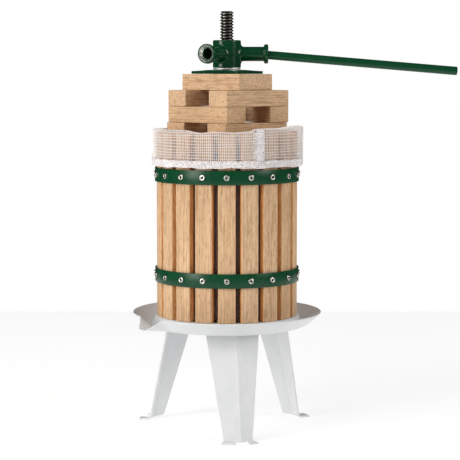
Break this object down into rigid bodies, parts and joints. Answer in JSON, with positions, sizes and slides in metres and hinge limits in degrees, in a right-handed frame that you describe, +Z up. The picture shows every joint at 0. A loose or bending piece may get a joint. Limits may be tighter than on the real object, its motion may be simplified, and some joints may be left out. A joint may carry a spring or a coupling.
{
  "type": "basket fruit press",
  "caption": "Small screw-driven basket press: enamelled tray with spout on folded legs, staved wooden basket with net bag, press plate on crossed blocks, cast head and loose bar.",
  "frame": {"origin": "on the surface the press stands on, at the middle of the whole press's box seen from above, so the screw's axis stands at x -0.1158, y 0.0002 because the bar reaches out to +X", "axes": "+Z up along the screw; +X along the bar as it is fitted; -Y to the front"},
  "size_m": [0.5574, 0.3262, 0.716],
  "materials": {
    "green_enamel": "gloss",
    "white_enamel": "satin",
    "beech": "sanded",
    "screw_steel": "oiled",
    "zinc": "plated",
    "net": "open weave"
  },
  "bodies": {
    "stand": {"front_leg": "white_enamel", "front_leg_bolt_left": "zinc", "front_leg_bolt_right": "zinc", "front_leg_nut_left": "zinc", "front_leg_nut_right": "zinc", "rear_left_leg": "white_enamel", "rear_left_leg_bolt_left": "zinc", "rear_left_leg_bolt_right": "zinc", "rear_left_leg_nut_left": "zinc", "rear_left_leg_nut_right": "zinc", "rear_right_leg": "white_enamel", "rear_right_leg_bolt_left": "zinc", "rear_right_leg_bolt_right": "zinc", "rear_right_leg_nut_left": "zinc", "rear_right_leg_nut_right": "zinc", "screw": "screw_steel", "screw_lower_nut": "screw_steel", "screw_upper_nut": "screw_steel", "screw_washer": "zinc", "tray": "white_enamel"},
    "basket": {"filter_bag": "net", "lower_hoop": "green_enamel", "stave_01": "beech", "stave_02": "beech", "stave_03": "beech", "stave_04": "beech", "stave_05": "beech", "stave_06": "beech", "stave_07": "beech", "stave_08": "beech", "stave_09": "beech", "stave_10": "beech", "stave_11": "beech", "stave_12": "beech", "stave_13": "beech", "stave_14": "beech", "stave_15": "beech", "stave_16": "beech", "stave_17": "beech", "stave_18": "beech", "stave_19": "beech", "upper_hoop": "green_enamel"},
    "press_stack": {"block_row1_far": "beech", "block_row1_near": "beech", "block_row2_far": "beech", "block_row2_near": "beech", "block_row3_far": "beech", "block_row3_near": "beech", "block_top": "beech", "half_disc_left": "beech", "half_disc_right": "beech", "press_plate": "green_enamel", "thrust_washer": "zinc"},
    "head": {"head": "green_enamel"},
    "bar": {"handle_bar": "green_enamel"}
  },
  "joints": [
    {"name": "basket_lift", "type": "slide", "parent": "stand", "child": "basket", "axis": [0, 0, 1], "range_m": [0, 0.02]},
    {"name": "press_travel", "type": "slide", "parent": "stand", "child": "press_stack", "axis": [0, 0, 1], "range_m": [-0.09, 0.045]},
    {"name": "head_spin", "type": "hinge", "parent": "press_stack", "child": "head", "pos_m": [-0.11581, 0.0002, 0.6436], "axis": [0, 0, 1], "range_deg": [-6480, 3240]},
    {"name": "bar_slide", "type": "slide", "parent": "head", "child": "bar", "axis": [0.9965, 0, -0.0837], "range_m": [0, 0.05]}
  ],
  "couplings": [
    {"joint": "press_travel", "follows": "head_spin", "m_per_rad": 0.00079577}
  ]
}
